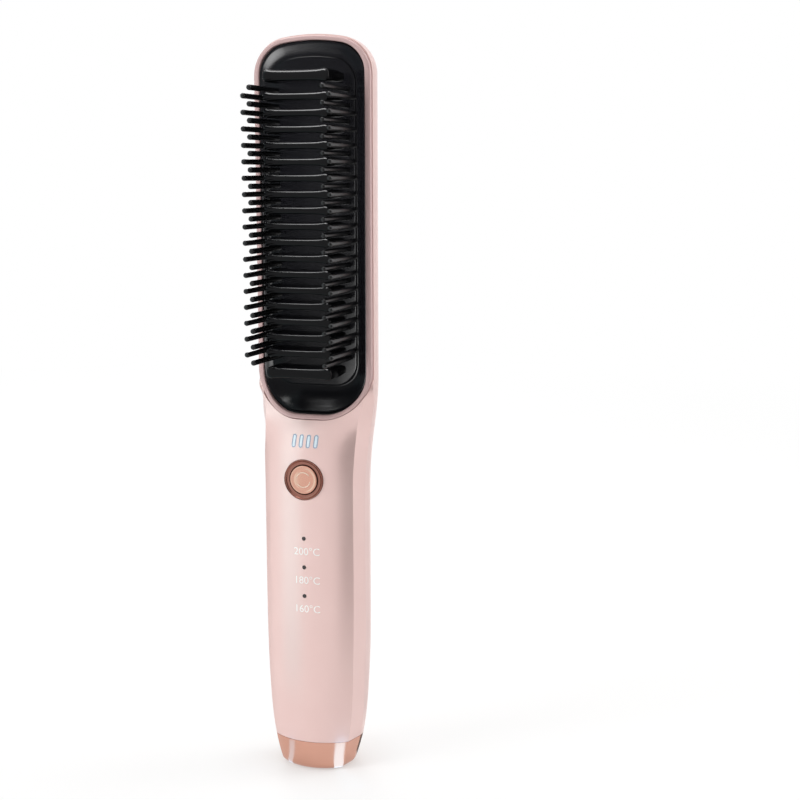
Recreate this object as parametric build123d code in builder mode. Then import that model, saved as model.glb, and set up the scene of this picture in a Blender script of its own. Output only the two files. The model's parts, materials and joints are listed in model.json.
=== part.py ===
from build123d import *
from math import asin, cos, radians, sin, sqrt
import os

# Cordless hot comb, standing on its end cap. Millimetres.
# Z runs up the comb, -Y is the side with the bristles, +X is to the right seen from that side.
# The origin is the middle of the flat foot.

# ---------------------------------------------------------------- driving dimensions
overall_length = 250.0
head_half = 20.9  # half the width of the head
handle_half = 17.7  # half the width of the grip
joint_half = 15.3  # half the width where the end cap starts
foot_half = 12.2  # half the width of the foot before its edge is rounded
top_corner = 12.3  # corner radius of the head
crown_turn = 80  # degrees the top corners turn before the flatter crown of the top
back_corner = 9.5  # radius along both back edges
foot_round = 3.0

joint_z = 10.4  # top of the end cap
grip_low = 60.0  # the grip tapers below this

cell_dia = 18.4
cell_length = 65.2
cell_low = 25.0
cell_y = 1.2
neck_above_cell = 6.8  # the neck widens, and the main board starts, this far above the cell
button_above_cell = 12.8
ring_above_button = 19.6
scoop_height = 13.4  # the face curves forwards over this height above the ring's lowest point
scoop_radius = 20.5

back_y = 13.2  # back of the grip and head
joint_back = 11.3  # back at the end cap's joint
foot_back = 9.6
crown_y = 12.0  # front of the grip, in front of the Y datum
joint_crown = 11.0
foot_crown = 9.8
face_y = 1.2  # front of the bezel, in front of the Y datum

wall = 1.6
seam = 0.8  # the cases part this far behind the crease
fit_gap = 0.1  # clearance between pieces that are pushed together

ring_edge = 0.3  # the case shows this much outside the bezel ring
ring_top_edge = 0.6
ring_width = 2.0
ring_low_width = 1.5
ring_depth = 1.8
ring_low_radius = 16.3
ring_high_radius = 12.0
cover_rise = 8.4  # the front cover ends beside the ring, this far above its lowest point

platform_room = 4.0  # the back case is open to this depth behind the comb plate's lower end
plate_lap = 0.5  # the comb plate reaches under the ring by this
plate_thick = 1.6
platform_margin = 5.0  # between the ring's outside and the raised platform
platform_low_margin = 10.9
platform_high_margin = 6.2
platform_rise = 0.8
platform_low_radius = 9.0
platform_high_radius = 12.5
platform_taper = 60  # degrees the platform's edge leans in

row_pitch = 5.2
row_margin_high = 14.0  # from the platform's top to the first row
row_margin_low = 12.0  # at least this from the platform's lower end to the last row
column_margin = 0.9  # from the platform's edge to the outer bristles' middles
column_step = 2.2  # from the outer to the inner bristles' middles
bristle_tip = 23.7  # bristle tips, in front of the Y datum
bristle_dia = 1.8
bristle_hole = 2.1
strip_thick = 1.6
strip_margin = 0.8
strip_outer_margin = 1.3
strip_low_margin = 4.0
strip_high_margin = 5.8

fin_margin = 1.0  # the teeth end this far inside the inner bristles' middles
fin_tip = 15.0  # tips of the heated teeth, in front of the Y datum
fin_web = 2.2
fin_bulb = 2.8  # diameter of each tooth's round ends
fin_edge = 0.7
end_fin_thick = 3.8
end_fin_step = 6.6
fin_gap = 0.2

base_margin = 0.9  # the heating plate's base reaches this far past the end teeth
heater_base = 2.0
heater_side = 3.3  # from the base's edge to the heater's
heater_margin = 4.0
heater_thick = 1.5
mica_side = 1.5  # the mica reaches past the heater's sides
mica_margin = 2.0  # and past its ends
mica_thick = 0.4
clamp_side = 0.3
clamp_margin = 6.5  # the clamp reaches past the heating plate's base
clamp_thick = 0.8
clamp_screw_side = 3.0  # from the clamp's sides to its screws
clamp_screw_margin = 3.0
clamp_slots = (-20.0, 0.0, 20.0)  # openings of the clamp, from the heater's middle
clamp_slot = (10.0, 3.0)
comb_boss_dia = 4.4
hook_width = 5.0
hook_thick = 1.3
hook_side = 3.0  # from the ring's outside to the hooks' outer faces
hook_barb = 0.7
hook_barb_thick = 1.0
hook_margin = 15.0  # from the base's ends to the outer hooks
catch_gap = 0.15
catch_back = 5.0
catch_width = 6.0

button_dia = 9.8
button_travel = 0.5
button_gap = 0.2
button_rise = 0.5  # the highest reach past the cover
button_sink = 0.5  # the button's face lies this far below that
ring_sink = 0.35  # and its ring's
button_edge = 0.4
button_stem = 4.0
button_ring_dia = 13.8
button_ring_bevel = 0.8
button_flange_dia = 11.4
button_flange = 0.8
stem_length = 0.3
ring_seat_y = -9.9  # the button's ring stands on a shoulder in the cover
collar_wall = 1.4
collar_back = -8.8
switch_half = 3.0
switch_front = -7.9
switch_hole = 3.8
plunger_clear = 0.3  # left under the plunger when the button is pressed
plunger_gap = 0.15
plunger_reach = 0.6

lamp_gap = 0.03  # clearance round the light pipes
lens_half = 5.7
lens_half_height = 3.4
lens_back = -6.9
lamp_led_front = -10.2
lamp_board_front = -9.7
lamp_board_back = -8.9
lamp_board_half = 4.0
lamp_below_button = 20.2  # highest temperature lamp
lamp_pitch = 10.0
lamp_count = 3
lamp_dia = 1.4
lamp_flange = 0.5
lamp_rise = 0.05  # the lamps stand this far proud of the cover
lamp_board_low_margin = 10.8
lamp_board_high_margin = 9.2
foam_low_margin = 9.8
foam_high_margin = 6.2
bar_above_button = 12.9
bar_pitch = 2.6
bar_count = 4
bar_width = 1.5
bar_height = 4.3
led_half = 0.8
led_high = 0.8

tab_thick = 0.3
tab_span_y = (-0.8, 3.8)
cell_shoulder = 0.5  # rounded edges of the cell, and how far its poles stand out
cell_pole_dia = 6.4
cell_gap = 0.15
frame_wall = 1.8
frame_front = -3.0
frame_low_margin = 2.0
frame_high_margin = 1.3
frame_window_half = 8.0
frame_end_half = 6.5  # openings for the tabs through the frame's ends
frame_end_span = (-1.0, 4.0)

panel_side = 3.5  # from the grip's side to the panel's
panel_low_side = 5.0
panel_low = 16.6
panel_below_ring = 2.7
panel_corner = 8.4
panel_low_turn = 13.0
panel_thick = 0.9
panel_sink = 0.2
panel_floor = 1.0
panel_gap = 0.1
panel_reach = 4.0  # the panel's edges end behind this
thick_low = 16.0  # the back case is thicker under the panel, from this height
thick_below_ring = 1.1

board_y = -4.4  # front face of the main board
board_thick = 1.2
board_length = 23.0
board_half = 10.6
board_clear = 1.4  # holes through the front stop this far before the board

screw_dia = 2.0
screw_head_dia = 3.8
screw_head = 1.3
screw_slack = 0.15
head_slack = 0.2
cross_long = 2.2
cross_wide = 0.5
cross_deep = 0.7
screw_end_gap = 0.2
boss_dia = 4.4
boss_meet_y = 2.0
back_boss_dia = 5.8
head_seat_y = 9.2
high_screw_x = 10.0
high_screw_above_cell = 4.4
low_screw_z = 19.5
screw_reach = 3.0  # the case screws end this far in front of the Y datum
board_screw_dia = 1.6
board_screw_head = (2.8, 0.9)
board_screw_slack = 0.1
board_screw_reach = 3.0
board_screw_end_gap = 0.3
board_screw_margin = 2.5
board_boss_dia = 4.0

socket_width = 8.94
socket_depth = 3.26
socket_length = 7.3
socket_recess = 0.7
socket_corner = 1.5
socket_wall = 0.3
socket_gap = 0.2
tongue_width = 6.7
tongue_thick = 0.7
tongue_recess = 0.8
charge_board_half = 6.5
charge_board_thick = 1.0
charge_board_low = 2.6
charge_board_high = 16.5
cap_floor = 2.0
joint_frame_low = 5.0  # the frame inside the joint of cases and cap
joint_frame_high = 14.0
lead_dia = 1.2

# ---------------------------------------------------------------- derived places
far = 45.0  # further than the comb reaches in X and Y
past_top = overall_length + 5
cell_high = cell_low + cell_length
grip_high = cell_high + neck_above_cell
button_z = cell_high + button_above_cell
bar_z = button_z + bar_above_button
ring_low = button_z + ring_above_button
ring_half = head_half - ring_edge
ring_top = overall_length - ring_top_edge
cover_top = ring_low + cover_rise
scoop_top = ring_low + scoop_height
head_low = scoop_top + 2.0
scoop_angle = asin(scoop_height / scoop_radius)
scoop_drop = scoop_radius * (1 - cos(scoop_angle))
shoulder_radius = (crown_y - face_y - scoop_drop) / (1 - cos(scoop_angle))
shoulder_z = ring_low - shoulder_radius * sin(scoop_angle)
plate_front = -face_y + ring_depth
plate_back = plate_front + plate_thick
platform_half = ring_half - platform_margin
platform_low = ring_low + platform_low_margin
platform_high = ring_top - platform_high_margin
heater_front = plate_back + heater_base
mica_front = heater_front + heater_thick
clamp_front = mica_front + mica_thick
clamp_back = clamp_front + clamp_thick
first_row = platform_high - row_margin_high
row_count = 1 + int((first_row - platform_low - row_margin_low) / row_pitch)
row_zs = [first_row - i * row_pitch for i in range(row_count)]
between_zs = [first_row + (0.5 - i) * row_pitch for i in range(row_count + 1)]
end_fin_zs = [row_zs[0] + end_fin_step, row_zs[-1] - end_fin_step]
outer_column = platform_half - column_margin
inner_column = outer_column - column_step
strip_inner = inner_column - strip_margin
strip_outer = outer_column + strip_outer_margin
strip_low = row_zs[-1] - strip_low_margin
strip_high = row_zs[0] + strip_high_margin
fin_half = inner_column - fin_margin
base_half = fin_half - fin_gap
base_low = end_fin_zs[1] - end_fin_thick / 2 - base_margin
base_high = end_fin_zs[0] + end_fin_thick / 2 + base_margin
heater_half = base_half - heater_side
heater_low = base_low + heater_margin
heater_high = base_high - heater_margin
heater_mid = (heater_low + heater_high) / 2
clamp_half = base_half - clamp_side
clamp_low = base_low - clamp_margin
clamp_high = base_high + clamp_margin
clamp_screw_x = clamp_half - clamp_screw_side
clamp_screw_zs = (clamp_low + clamp_screw_margin, clamp_high - clamp_screw_margin)
clamp_screws_at = [(side * clamp_screw_x, z) for side in (1, -1) for z in clamp_screw_zs]
hook_outer = ring_half - hook_side
hook_inner = hook_outer - hook_thick
catch_inner = hook_outer + catch_gap
hook_zs = (base_low + hook_margin, (base_low + base_high) / 2, base_high - hook_margin)
bristle_places = [(side * outer_column, z) for side in (-1, 1) for z in row_zs]
bristle_places += [(side * inner_column, z) for side in (-1, 1) for z in between_zs]
button_front = crown_y + button_rise
top_lamp_z = button_z - lamp_below_button
lamp_zs = [top_lamp_z - i * lamp_pitch for i in range(lamp_count)]
bar_xs = [(i - (bar_count - 1) / 2) * bar_pitch for i in range(bar_count)]
switch_hole_depth = plunger_reach + button_travel + plunger_clear
board_low = grip_high
board_high = board_low + board_length
board_back = board_y + board_thick
board_clear_y = board_y - board_clear
board_screw_zs = (board_low + board_screw_margin, board_high - board_screw_margin)
board_screw_x = board_half - board_screw_margin
board_screws_at = [(side * board_screw_x, z) for side in (1, -1) for z in board_screw_zs]
frame_half = cell_dia / 2 + frame_wall
frame_low = cell_low - frame_low_margin
frame_high = cell_high + frame_high_margin
high_screw_z = cell_high + high_screw_above_cell
case_screws_at = [(high_screw_x, high_screw_z), (-high_screw_x, high_screw_z), (0, low_screw_z)]
panel_half = handle_half - panel_side
panel_low_half = handle_half - panel_low_side
panel_high = ring_low - panel_below_ring
thick_high = ring_low - thick_below_ring

os.makedirs("parts", exist_ok=True)


def save(part, label):
    part.label = label
    export_step(part, f"parts/{label}.step")


# ---------------------------------------------------------------- shared forms
def crown_at(z):
    """How far the middle of the front stands in front of the Y datum at height z."""
    if z >= scoop_top:
        return face_y
    if z >= ring_low:
        return face_y + scoop_radius - sqrt(scoop_radius**2 - (scoop_top - z) ** 2)
    if z >= shoulder_z:
        return crown_y - shoulder_radius + sqrt(shoulder_radius**2 - (z - shoulder_z) ** 2)
    return crown_y


def corner_start(half, high, radius):
    """Where a rounded top corner starts, so that it runs on into the crowned top without a kink."""
    turn = radians(crown_turn)
    return high - radius - (half - radius) * (1 - sin(turn)) / cos(turn)


def front_outline(inset=0.0):
    """The comb seen from the front, or a line inset from its sides and top."""
    foot = foot_half - inset
    joint = joint_half - inset
    grip = handle_half - inset
    head = head_half - inset
    corner_radius = top_corner - inset
    top = overall_length - inset
    with BuildLine() as outline:
        Line((0, 0), (foot, 0))
        Spline(
            (foot, 0),
            (joint - 1.3, joint_z / 2),
            (joint, joint_z),
            (joint + 1.15, joint_z + 8.6),
            (grip - 0.45, grip_low - 26),
            (grip, grip_low),
            tangents=[(0.5, 1), (0, 1)],
        )
        Line((grip, grip_low), (grip, grip_high))
        Spline(
            (grip, grip_high),
            (grip + 1.05, grip_high + 17.5),
            (head - 0.9, head_low - 14),
            (head, head_low),
            tangents=[(0, 1), (0, 1)],
        )
        Line((head, head_low), (head, corner_start(head, top, corner_radius)))
        corner = JernArc((head, corner_start(head, top, corner_radius)), (0, 1), corner_radius, crown_turn)
        TangentArc(corner @ 1, (0, top), tangent=corner % 1)
        mirror(about=Plane.YZ)
    return outline.line


def side_outline(inset=0.0):
    """The comb's back seen from the side, closed far in front of the comb."""
    with BuildLine() as outline:
        Spline(
            (foot_back - inset, -1),
            (joint_back - inset, joint_z),
            (back_y - 0.4 - inset, grip_low / 2),
            (back_y - inset, grip_low),
            tangents=[(0.25, 1), (0, 1)],
        )
        Polyline(
            (back_y - inset, grip_low),
            (back_y - inset, past_top),
            (-far, past_top),
            (-far, -1),
            (foot_back - inset, -1),
        )
    return outline.line


def crease_stations():
    """Height, half width, the crease's half width and depth, and the crown, up the crowned front."""
    grip_crease = (handle_half - 1.75, 7.0)
    return (
        (-1.0, foot_half - 0.4, foot_half - 1.8, 5.8, foot_crown),
        (joint_z, joint_half, joint_half - 1.9, 6.4, joint_crown),
        (grip_low / 2, handle_half - 0.6, handle_half - 2.4, 6.8, crown_y - 0.3),
        (grip_low * 0.8, handle_half - 0.1, handle_half - 1.9, 7.0, crown_y),
        (grip_low + 5, handle_half, *grip_crease, crown_y),
        ((grip_low + grip_high) / 2, handle_half, *grip_crease, crown_y),
        (grip_high - 5, handle_half, *grip_crease, crown_y),
        (grip_high + 3, handle_half, *grip_crease, crown_y),
        (shoulder_z, handle_half + 0.4, handle_half - 1.6, 6.8, crown_at(shoulder_z)),
        (ring_low - 11.6, handle_half + 0.8, handle_half - 1.4, 6.3, crown_at(ring_low - 11.6)),
        (ring_low - 7.6, handle_half + 1.2, handle_half - 1.3, 5.6, crown_at(ring_low - 7.6)),
        (ring_low - 3.6, handle_half + 1.7, handle_half - 1.1, 4.8, crown_at(ring_low - 3.6)),
        (ring_low, handle_half + 2.2, handle_half - 0.9, 3.9, crown_at(ring_low) + 0.2),
        (ring_low + 3.4, head_half - 0.8, head_half - 3.7, 3.1, crown_at(ring_low + 3.4) + 0.2),
        (ring_low + 7.4, head_half - 0.35, head_half - 2.9, 2.3, crown_at(ring_low + 7.4) + 0.2),
        (scoop_top, head_half, head_half - 0.6, face_y, face_y + 0.2),
    )


def front_form(inset=0.0):
    """All that lies behind the crowned front and inside the two creases."""
    with BuildPart() as form:
        for z, half, crease_half, crease_y, crown in crease_stations():
            slope = (crease_y + 1.5) / (half - crease_half)
            lean_y = min(slope * (half + 3.0 - crease_half) - crease_y, 12.0)
            side_half = half + 3.0 - inset
            crease = (crease_half - inset, inset - crease_y)
            with BuildSketch(Plane.XY.offset(z)):
                with BuildLine():
                    ThreePointArc((-crease[0], crease[1]), (0, inset - crown), crease)
                    Polyline(
                        crease,
                        (side_half, lean_y + inset),
                        (side_half, far),
                        (-side_half, far),
                        (-side_half, lean_y + inset),
                        (-crease[0], crease[1]),
                    )
                make_face()
        loft()
    return form.part


def blank(inset=0.0):
    """The comb's outer form with a flat front, or the form that lies inset from its sides, ends and back."""
    with BuildPart() as form:
        with BuildSketch(Plane.XZ.offset(far)):
            add(front_outline(inset))
            make_face()
        extrude(amount=-2 * far)
        with BuildSketch(Plane.YZ.offset(-far)):
            add(side_outline(inset))
            make_face()
        extrude(amount=2 * far, mode=Mode.INTERSECT)
        near_back = form.edges().filter_by(lambda e: e.center().Y > foot_back - 3)
        fillet(near_back.filter_by(lambda e: e.center().Z > 1 + inset), back_corner - inset)
    return form.part


def parting_outline():
    """The line between the two cases, seen from the side, closed far behind the comb."""
    with BuildLine() as outline:
        stations = [(seam - crease_y, z) for z, _, _, crease_y, _ in crease_stations()[:-1]]
        Spline(*stations, (plate_front, head_low), tangents=[(0, 1), (0, 1)])
        Polyline(
            (plate_front, head_low),
            (plate_front, past_top),
            (far, past_top),
            (far, stations[0][1]),
            stations[0],
        )
    return outline.line


def behind_parting():
    with BuildPart() as form:
        with BuildSketch(Plane.YZ.offset(-far)):
            add(parting_outline())
            make_face()
        extrude(amount=2 * far)
    return form.part


def scoop_outline(depth):
    """The curved face of the head seen from the side, at a depth below it, closed far behind."""
    near = scoop_radius + depth
    low = shoulder_radius - depth
    scoop_y = -face_y - scoop_radius
    shoulder_y = shoulder_radius - crown_y
    half_angle = scoop_angle / 2
    with BuildLine() as outline:
        Line((depth - face_y, past_top), (depth - face_y, scoop_top))
        ThreePointArc(
            (scoop_y + near, scoop_top),
            (scoop_y + near * cos(half_angle), scoop_top - near * sin(half_angle)),
            (scoop_y + near * cos(scoop_angle), scoop_top - near * sin(scoop_angle)),
        )
        ThreePointArc(
            (shoulder_y - low * cos(scoop_angle), shoulder_z + low * sin(scoop_angle)),
            (shoulder_y - low * cos(half_angle), shoulder_z + low * sin(half_angle)),
            (shoulder_y - low, shoulder_z),
        )
        Polyline(
            (depth - crown_y, shoulder_z),
            (depth - crown_y, -1),
            (far, -1),
            (far, past_top),
            (depth - face_y, past_top),
        )
    return outline.line


def scoop_layer(depth, thickness):
    """A layer of even thickness that follows the face of the head."""
    with BuildPart() as layer:
        with BuildSketch(Plane.YZ.offset(-far)):
            add(scoop_outline(depth))
            make_face()
        extrude(amount=2 * far)
        with BuildSketch(Plane.YZ.offset(-far)):
            add(scoop_outline(depth + thickness))
            make_face()
        extrude(amount=2 * far, mode=Mode.SUBTRACT)
    return layer.part


def face_outline(half, low, high, low_radius, high_radius):
    """A loop on the face: straight sides, round lower corners, crowned top."""
    with BuildLine() as outline:
        Line((0, low), (half - low_radius, low))
        JernArc((half - low_radius, low), (1, 0), low_radius, 90)
        Line((half, low + low_radius), (half, corner_start(half, high, high_radius)))
        corner = JernArc((half, corner_start(half, high, high_radius)), (0, 1), high_radius, crown_turn)
        TangentArc(corner @ 1, (0, high), tangent=corner % 1)
        mirror(about=Plane.YZ)
    return outline.line


def face_column(outline):
    """All that lies inside a loop on the face, from far in front to far behind."""
    with BuildPart() as column:
        with BuildSketch(Plane.XZ.offset(far)):
            add(outline)
            make_face()
        extrude(amount=-2 * far)
    return column.part


def ring_outline(inset=0.0):
    low_step = inset * ring_low_width / ring_width
    return face_outline(
        ring_half - inset,
        ring_low + low_step,
        ring_top - low_step,
        ring_low_radius - inset,
        ring_high_radius - inset,
    )


def panel_outline(outset=0.0):
    """The back panel's loop: round upper corners and an elliptical lower end."""
    half = panel_half + outset
    low_half = panel_low_half + outset
    turn_z = panel_low + panel_low_turn
    with BuildLine() as outline:
        EllipticalCenterArc((0, turn_z), low_half, panel_low_turn + outset, start_angle=270, arc_size=90)
        side = Line((low_half, turn_z), (half, panel_high - panel_corner))
        corner = JernArc(side @ 1, (0, 1), panel_corner + outset, 90)
        Line(corner @ 1, (0, (corner @ 1).Y))
        mirror(about=Plane.YZ)
    return outline.line


def column_along_y(places, radius, front, back):
    """Round columns along Y, at (x, z) places."""
    with BuildPart() as column:
        with BuildSketch(Plane.XZ.offset(-back)):
            with Locations(*places):
                Circle(radius)
        extrude(amount=back - front)
    return column.part


def block(x_span, y_span, z_span):
    """A plain block between two values on each axis."""
    with BuildPart() as form:
        with Locations((x_span[0], y_span[0], z_span[0])):
            Box(
                x_span[1] - x_span[0],
                y_span[1] - y_span[0],
                z_span[1] - z_span[0],
                align=(Align.MIN, Align.MIN, Align.MIN),
            )
    return form.part


def on_side(low, high, side):
    """A span in X on the right side, or its mirror image on the left."""
    return (low, high) if side > 0 else (-high, -low)


def cross_recess(places, back):
    """Cross recesses for a screwdriver, sunk from the screws' heads."""
    with BuildPart() as recess:
        with BuildSketch(Plane.XZ.offset(-back)):
            with Locations(*places):
                Rectangle(cross_long, cross_wide)
                Rectangle(cross_wide, cross_long)
        extrude(amount=cross_deep)
    return recess.part


def lead(points, bend):
    """A round wire along a bent path."""
    with BuildPart() as wire:
        with BuildLine() as path:
            FilletPolyline(*points, radius=bend)
        with BuildSketch(Plane(origin=path.line @ 0, z_dir=path.line % 0)):
            Circle(lead_dia / 2)
        sweep()
    return wire.part


def teeth_column(outset, front, back, edge=0.0):
    """The heated teeth, or the column of their slots when outset."""
    with BuildPart() as column:
        with BuildSketch(Plane.XZ.offset(-back)):
            with Locations(*[(0, z) for z in row_zs]):
                Rectangle(2 * fin_half - fin_bulb, fin_web + 2 * outset)
            with Locations(*[(side * (fin_half - fin_bulb / 2), z) for z in row_zs for side in (-1, 1)]):
                Circle(fin_bulb / 2 + outset)
            with Locations(*[(0, z) for z in end_fin_zs]):
                SlotOverall(2 * (fin_half + outset), end_fin_thick + 2 * outset)
        extrude(amount=back - front)
        if edge:
            fillet(column.faces().sort_by(Axis.Y)[: row_count + 2].edges(), edge)
    return column.part


full_blank = blank()
wall_blank = blank(wall)
full_front = front_form()
wall_front = front_form(wall)
rear = behind_parting()
ring_column = face_column(ring_outline(-fit_gap))
above_cap = block((-far, far), (-far, far), (joint_z + fit_gap, overall_length + far))
body_span = (-far, far)

# ---------------------------------------------------------------- cases
with BuildPart() as cavity:
    add(wall_blank)
    add(wall_front, mode=Mode.INTERSECT)
    add(block(body_span, body_span, (cap_floor, overall_length)), mode=Mode.INTERSECT)

with BuildPart() as front_bosses:
    add(column_along_y(case_screws_at, boss_dia / 2, -crown_y, boss_meet_y - fit_gap))
    add(column_along_y(board_screws_at, board_boss_dia / 2, -crown_y, board_y))
    add(column_along_y([(0, button_z)], button_ring_dia / 2 + collar_wall, -crown_y, collar_back))
    add(front_form(wall / 2), mode=Mode.INTERSECT)

with BuildPart() as front_cover:
    add(full_blank)
    add(full_front, mode=Mode.INTERSECT)
    add(block(body_span, body_span, (joint_z + fit_gap, cover_top)), mode=Mode.INTERSECT)
    add(rear, mode=Mode.SUBTRACT)
    add(cavity.part, mode=Mode.SUBTRACT)
    add(front_bosses.part)
    add(ring_column, mode=Mode.SUBTRACT)
    with BuildSketch(Plane.XZ.offset(crown_y + 1)):
        with Locations((0, button_z)):
            Circle(button_ring_dia / 2 + fit_gap)
    extrude(amount=-(crown_y + 1 + ring_seat_y), mode=Mode.SUBTRACT)
    with BuildSketch(Plane.XZ.offset(crown_y + 1)):
        with Locations((0, button_z)):
            Circle(button_flange_dia / 2 + button_gap)
        with Locations(*[(0, z) for z in lamp_zs]):
            Circle(lamp_dia / 2 + lamp_gap)
        with Locations(*[(x, bar_z) for x in bar_xs]):
            SlotOverall(bar_height + 2 * lamp_gap, bar_width + 2 * lamp_gap, rotation=90)
    extrude(amount=-(crown_y + 1 + board_clear_y), mode=Mode.SUBTRACT)
    with BuildSketch(Plane.XZ.offset(-boss_meet_y)):
        with Locations(*case_screws_at):
            Circle(screw_dia / 2)
    extrude(amount=boss_meet_y + screw_reach, mode=Mode.SUBTRACT)
    with BuildSketch(Plane.XZ.offset(-board_y)):
        with Locations(*board_screws_at):
            Circle(board_screw_dia / 2)
    extrude(amount=board_screw_reach, mode=Mode.SUBTRACT)
save(front_cover.part, "front_cover")

panel_seat = blank(panel_sink + panel_thick)
floor_blank = blank(panel_sink + panel_thick + panel_floor)

with BuildPart() as back_sides:
    add(full_front)
    add(block(body_span, body_span, (scoop_top, past_top)))

with BuildPart() as back_room:
    add(floor_blank)
    add(block(body_span, body_span, (thick_low, thick_high)), mode=Mode.INTERSECT)
    add(wall_front, mode=Mode.INTERSECT)
    with BuildPart():
        add(cavity.part)
        add(block(body_span, body_span, (-5, thick_low)), mode=Mode.INTERSECT)
    with BuildPart():
        add(wall_blank)
        add(wall_front, mode=Mode.INTERSECT)
        add(block(body_span, body_span, (thick_high, scoop_top - 1.0)), mode=Mode.INTERSECT)
    with BuildPart():
        add(wall_blank)
        add(block(body_span, body_span, (scoop_top - 1.0, overall_length)), mode=Mode.INTERSECT)
    with BuildPart():
        add(face_column(ring_outline(ring_width - plate_lap - fit_gap)))
        add(block(body_span, (-far, platform_room), (ring_low, scoop_top)), mode=Mode.INTERSECT)

with BuildPart() as ring_room:
    add(ring_column)
    with BuildSketch(Plane.YZ.offset(-far)):
        add(scoop_outline(ring_depth))
        make_face()
    extrude(amount=2 * far, mode=Mode.SUBTRACT)

with BuildPart() as back_bosses:
    add(column_along_y(case_screws_at, back_boss_dia / 2, boss_meet_y, back_y))
    for z in hook_zs:
        half = catch_width / 2
        for side in (-1, 1):
            add(block(on_side(catch_inner, head_half, side), (plate_back, catch_back), (z - half, z + half)))
    add(panel_seat, mode=Mode.INTERSECT)

with BuildPart() as back_shell:
    add(full_blank)
    add(back_sides.part, mode=Mode.INTERSECT)
    add(rear, mode=Mode.INTERSECT)
    add(above_cap, mode=Mode.INTERSECT)
    add(back_room.part, mode=Mode.SUBTRACT)
    add(ring_room.part, mode=Mode.SUBTRACT)
    add(back_bosses.part)
    with BuildPart(mode=Mode.SUBTRACT):
        add(face_column(panel_outline(panel_gap)))
        add(block(body_span, (-far, panel_reach), (-5, overall_length)), mode=Mode.SUBTRACT)
        add(panel_seat, mode=Mode.SUBTRACT)
    with BuildSketch(Plane.XZ.offset(-back_y)):
        with Locations(*case_screws_at):
            Circle(screw_head_dia / 2 + head_slack)
    extrude(amount=back_y - head_seat_y, mode=Mode.SUBTRACT)
    with BuildSketch(Plane.XZ.offset(-back_y)):
        with Locations(*case_screws_at):
            Circle(screw_dia / 2 + screw_slack)
    extrude(amount=back_y, mode=Mode.SUBTRACT)
save(back_shell.part, "back_shell")

with BuildPart() as back_panel:
    add(face_column(panel_outline()))
    add(blank(panel_sink), mode=Mode.INTERSECT)
    add(panel_seat, mode=Mode.SUBTRACT)
    add(block(body_span, (-far, panel_reach), (-5, overall_length)), mode=Mode.SUBTRACT)
save(back_panel.part, "back_panel")

with BuildPart() as case_screws:
    add(column_along_y(case_screws_at, screw_head_dia / 2, head_seat_y, head_seat_y + screw_head))
    add(column_along_y(case_screws_at, screw_dia / 2, screw_end_gap - screw_reach, head_seat_y))
    add(cross_recess(case_screws_at, head_seat_y + screw_head), mode=Mode.SUBTRACT)
save(case_screws.part, "case_screws")

# ---------------------------------------------------------------- head
ring_inner = face_column(ring_outline(ring_width))
with BuildPart() as bezel_ring:
    add(scoop_layer(0, ring_depth))
    add(face_column(ring_outline()), mode=Mode.INTERSECT)
    add(ring_inner, mode=Mode.SUBTRACT)
save(bezel_ring.part, "bezel_ring")

with BuildPart() as comb_plate:
    add(scoop_layer(ring_depth, plate_thick))
    add(face_column(ring_outline(ring_width - plate_lap)), mode=Mode.INTERSECT)
    with BuildSketch(Plane.XZ.offset(-plate_front)):
        platform_radii = (platform_low_radius, platform_high_radius)
        add(face_outline(platform_half, platform_low, platform_high, *platform_radii))
        make_face()
    extrude(amount=platform_rise, taper=platform_taper)
    with BuildSketch(Plane.XZ.offset(-clamp_front)):
        with Locations(*clamp_screws_at):
            Circle(comb_boss_dia / 2)
    extrude(amount=clamp_front - plate_back + 0.5)
    for z in hook_zs:
        z_span = (z - hook_width / 2, z + hook_width / 2)
        barb_span = (catch_back + fit_gap, catch_back + fit_gap + hook_barb_thick)
        for side in (-1, 1):
            add(block(on_side(hook_inner, hook_outer, side), (plate_back - fin_gap, barb_span[1]), z_span))
            add(block(on_side(hook_outer, hook_outer + hook_barb, side), barb_span, z_span))
    add(teeth_column(fin_gap, -fin_tip, clamp_front), mode=Mode.SUBTRACT)
    with BuildSketch(Plane.XZ.offset(-clamp_front)):
        with Locations(*bristle_places):
            Circle(bristle_hole / 2)
    extrude(amount=clamp_front + fin_tip, mode=Mode.SUBTRACT)
    with BuildSketch(Plane.XZ.offset(-clamp_front)):
        with Locations(*clamp_screws_at):
            Circle(screw_dia / 2)
    extrude(amount=clamp_front - plate_back, mode=Mode.SUBTRACT)
save(comb_plate.part, "comb_plate")


def bristle_row(side):
    """One side's cool bristles, standing on their strip."""
    places = [(x, z) for x, z in bristle_places if x * side > 0]
    shaft_tip = bristle_dia / 2 - bristle_tip
    strip_x = on_side(strip_inner, strip_outer, side)
    with BuildPart() as row:
        add(block(strip_x, (plate_back, plate_back + strip_thick), (strip_low, strip_high)))
        add(column_along_y(places, bristle_dia / 2, shaft_tip, plate_back))
        with Locations(*[(x, shaft_tip, z) for x, z in places]):
            Sphere(bristle_dia / 2)
    return row.part


left_bristles = bristle_row(-1)
save(left_bristles, "left_bristles")
right_bristles = bristle_row(1)
save(right_bristles, "right_bristles")

with BuildPart() as heating_plate:
    add(teeth_column(0, -fin_tip, plate_back, fin_edge))
    add(block((-base_half, base_half), (plate_back, heater_front), (base_low, base_high)))
save(heating_plate.part, "heating_plate")

with BuildPart() as ptc_heater:
    add(block((-heater_half, heater_half), (heater_front, mica_front), (heater_low, heater_high)))
save(ptc_heater.part, "ptc_heater")

mica_half = heater_half + mica_side
mica_span = (heater_low - mica_margin, heater_high + mica_margin)
with BuildPart() as mica_sheet:
    add(block((-mica_half, mica_half), (mica_front, clamp_front), mica_span))
save(mica_sheet.part, "mica_sheet")

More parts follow.
